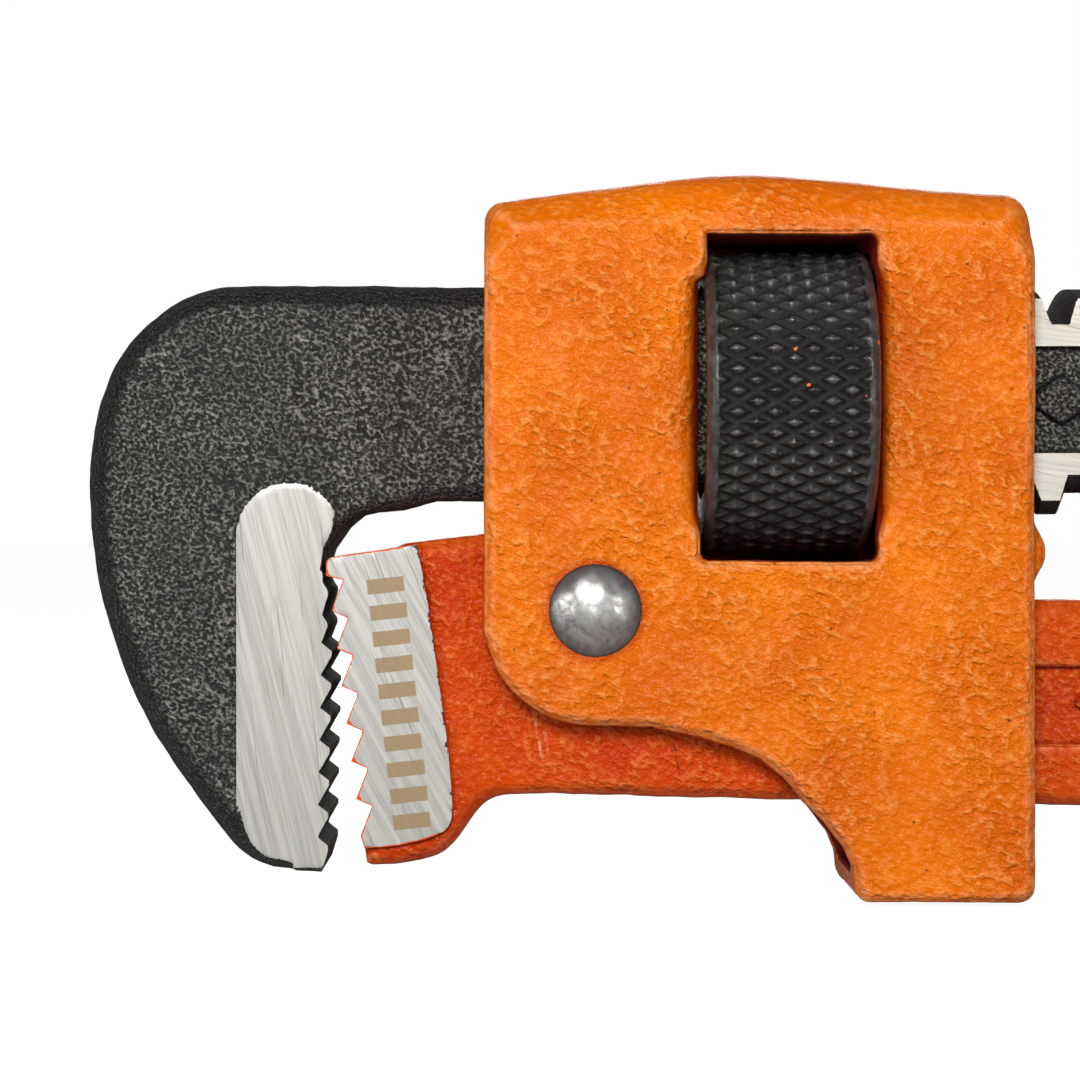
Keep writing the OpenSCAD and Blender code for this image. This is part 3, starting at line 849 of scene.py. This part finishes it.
def heel_steel():
    """The heel's ground face: a ladder of plain tan bars etched down its middle, a thread of paint left
    along the teeth and the top, and dark nicks along the other side."""
    n, tone, rough, normal = ground_steel("heel_ground_steel", 27)
    along = n.slanted(0.11, -0.994, -19.2, 3.4)
    across = n.slanted(0.994, 0.11, -19.2, 3.4)
    step = n.math("ABSOLUTE", n.math("SUBTRACT", n.math("FRACT", n.math("DIVIDE", along, 2.4)), 0.5))
    bar = n.math("MULTIPLY", n.band(step, 0.30, 0.27), n.band(n.math("ABSOLUTE", across), 1.75, 1.65))
    span = n.math("LESS_THAN", n.math("ABSOLUTE", n.math("SUBTRACT", along, 12.0)), 12.0)
    patchy = n.band(n.noise(0.3, 2.0), 0.2, 0.5, 0.82, 0.97)
    etched = n.math("MULTIPLY", n.math("MULTIPLY", bar, span), patchy)
    tone = n.blend(etched, tone, (0.29, 0.205, 0.105))
    rim = n.mark("rim")
    toothed = n.band(n.slanted(1.0, 0.13), -16.6, -17.0)
    ragged = n.noise(1.1, 3.0, 0.6)
    paint = n.math("MULTIPLY", n.math("LESS_THAN", rim, n.band(ragged, 0.35, 0.7, 0.07, 0.17)), toothed)
    tone = n.blend(paint, tone, (0.62, 0.075, 0.0))
    nick = n.math("MULTIPLY", n.math("LESS_THAN", rim, n.band(ragged, 0.5, 0.72, 0.0, 0.3)),
                  n.math("SUBTRACT", 1.0, toothed))
    tone = n.blend(nick, tone, (0.05, 0.03, 0.02))
    metal = n.math("SUBTRACT", 0.35, n.math("MULTIPLY", n.math("MAXIMUM", etched, paint), 0.3))
    return n.finish(tone, rough, normal, metal)


def rivet_steel():
    """Bright peened steel: broad shallow dents and faint swirls, painted shade darkening the dome towards
    its rim, and dark where it meets the wall.
    """
    n = Nodes("rivet_bright_steel", 0.34, metallic=0.9)
    far = n.from_rivet()
    dents = n.noise(2.3, 1.0, 0.4)
    swirl = n.noise(1.3, 4.0, 0.6, distortion=1.5)
    tone = n.blend(n.band(swirl, 0.35, 0.68), (0.27, 0.265, 0.255), (0.56, 0.55, 0.53))
    # Painted shade: darker grey over the dome's outer part, towards its rim.
    tone = n.blend(n.band(far, 2.6, 4.15, 0, 0.75), tone, (0.11, 0.11, 0.11))
    tone = n.blend(n.band(far, 3.95, 4.2, 0, 0.7), tone, (0.05, 0.03, 0.02))
    return n.finish(tone, n.band(swirl, 0.3, 0.7, 0.44, 0.30), n.bump(dents, 0.3, n.bump(swirl, 0.02)))


def knurled_black():
    """Black oxide on the nut: duller in the grooves, grey on the diamonds' tops, both worn and a painted
    highlight, with a rim that has a brownish temper colour."""
    n = Nodes("knurled_black_oxide", 0.3, specular=0.34)
    grains = n.noise(0.35, 3.0, 0.6)
    tone = n.blend(n.band(grains, 0.4, 0.72), (0.004, 0.004, 0.0035), (0.016, 0.015, 0.013))
    # Grey on the diamonds' tops: worn oxide, and a painted highlight where they catch the light.
    top = n.math("MULTIPLY", n.band(n.mark("groove"), 0.35, 0.0), n.band(n.noise(1.1, 3.0), 0.42, 0.66))
    tone = n.blend(n.math("MULTIPLY", top, 0.55), tone, (0.15, 0.145, 0.135))
    x, _, _ = n.split()
    from_middle = n.math("ABSOLUTE", n.math("SUBTRACT", x, NUT_X))
    rim = n.band(from_middle, KNURL_HALF, KNURL_HALF + 0.2, 0, 0.55)
    tone = n.blend(rim, tone, (0.062, 0.040, 0.036))
    speck = n.math("LESS_THAN", n.spots(4.5), 0.05)
    tone = n.blend(speck, tone, (0.75, 0.14, 0.02))
    rough = n.band(grains, 0.3, 0.7, 0.26, 0.42)
    rough = n.math("MAXIMUM", rough, n.band(n.mark("groove"), 0.2, 0.8, 0.2, 0.8))
    return n.finish(tone, rough, n.bump(grains, 0.05))


def blued_spring():
    """Blued spring steel with rolling marks along its length."""
    n = Nodes("blued_spring_steel", 0.35, metallic=1.0)
    streak = n.noise(1.0, 3.0, 0.6, n.stretched((0.3, 6.0, 0.3)))
    tone = n.blend(n.band(streak, 0.35, 0.7), (0.10, 0.11, 0.13), (0.26, 0.27, 0.30))
    return n.finish(tone, n.band(streak, 0.3, 0.7, 0.3, 0.45), n.bump(streak, 0.01))


# ---- Putting it together ----

n, *looks = ground_steel("hook_ground_steel", 12)
hook_ground = n.finish(*looks)
n, *looks = ground_steel("thread_ground_steel", 80, (0.66, 0.63, 0.55), (0.50, 0.475, 0.415))
thread_lands = n.finish(*looks)

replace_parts(make_hook(black_forging(), hook_ground, thread_lands), "hook_jaw")
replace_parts(make_handle(handle_enamel(), heel_steel()), "handle")
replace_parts(make_housing(housing_enamel()), "housing")
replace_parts(make_nut(knurled_black()), "adjusting_nut")
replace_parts(make_rivet(rivet_steel()), "pivot_rivet")
spring_finish = blued_spring()
for node in ("jaw_spring", "handle_spring", "jaw_spring_rivet", "handle_spring_rivet"):
    spring = frame["nodes"][node]
    spring.data.materials.clear()
    spring.data.materials.append(spring_finish)


# ---- Stage ----


def stage_sheet(name, low, high, material):
    """A flat sheet on the floor's level, from corner to corner."""
    mesh = bpy.data.meshes.new(name)
    (x0, y0), (x1, y1), z = low, high, cad_box[0][2] - 0.0005
    mesh.from_pydata([(x0, y0, z), (x1, y0, z), (x1, y1, z), (x0, y1, z)], [], [(0, 1, 2, 3)])
    mesh.materials.append(material)
    sheet = bpy.data.objects.new(name, mesh)
    bpy.context.collection.objects.link(sheet)


def soft_box(name, place, aim, size, power):
    """A square area light at a place about the pivot, turned towards another, in millimetres."""
    light = bpy.data.lights.new(name, "AREA")
    light.shape = "SQUARE"
    light.size = size * MM
    light.energy = power
    lamp = bpy.data.objects.new(name, light)
    bpy.context.collection.objects.link(lamp)
    start = PIVOT + np.array(place, float) * MM
    way = PIVOT + np.array(aim, float) * MM - start
    lamp.location = start
    lamp.rotation_euler = Vector(way).to_track_quat("-Z", "Y").to_euler()


# A floor that glows to the camera only, so that it looks white without lighting the wrench from below
floor_paint = Nodes("pale_floor", 0.9, specular=0.0)
floor_tone = floor_paint.blend(floor_paint.noise(180.0), (0.44, 0.44, 0.44), (0.48, 0.48, 0.48))
floor_seen = floor_paint.tree.nodes.new("ShaderNodeLightPath")
floor_glow = floor_paint.band(floor_seen.outputs["Is Camera Ray"], 0.0, 1.0, 0.0, 0.93)
floor_paint.shader.inputs["Emission Color"].default_value = (1, 1, 1, 1)
floor_paint.set(floor_paint.shader.inputs["Emission Strength"], floor_glow)
stage_sheet("floor", (-3, -3), (3, 3), floor_paint.finish(floor_tone))

soft_box("key_above", (-30, -330, 150), (0, 0, 5), 120, 1.22)
soft_box("left_front", (-340, -260, 60), (-20, 0, 5), 90, 0.42)
soft_box("right_front", (260, -290, 50), (20, 0, 5), 80, 0.25)
soft_box("back", (60, 420, 120), (0, 0, 5), 240, 0.6)

# White behind the wrench to the camera, and dim to every other ray
world = bpy.data.worlds.new("studio")
bpy.context.scene.world = world
world.use_nodes = True
backdrop = world.node_tree.nodes["Background"]
seen = world.node_tree.nodes.new("ShaderNodeLightPath")
level = world.node_tree.nodes.new("ShaderNodeMapRange")
level.inputs["To Min"].default_value = 0.12
level.inputs["To Max"].default_value = 1.0
world.node_tree.links.new(seen.outputs["Is Camera Ray"], level.inputs["Value"])
world.node_tree.links.new(level.outputs[0], backdrop.inputs["Strength"])
backdrop.inputs["Color"].default_value = (1, 1, 1, 1)
bpy.context.scene.view_settings.view_transform = "Standard"

# The camera looks straight along the rivet at the head, which fills a frame 98.2 mm wide
FRAME_WIDTH = 98.2
CAMERA_FAR = 252.0
CAMERA_Z = 8.5
FRAME_Z = 6.35
SENSOR = 36
camera = bpy.data.cameras.new("camera")
camera.lens = SENSOR * CAMERA_FAR / FRAME_WIDTH
camera.shift_y = (FRAME_Z - CAMERA_Z) / FRAME_WIDTH
viewer = bpy.data.objects.new("camera", camera)
bpy.context.collection.objects.link(viewer)
viewer.location = PIVOT + np.array((-5.0, -7.0 - CAMERA_FAR, CAMERA_Z)) * MM
viewer.rotation_euler = (math.radians(90), 0, 0)
bpy.context.scene.camera = viewer
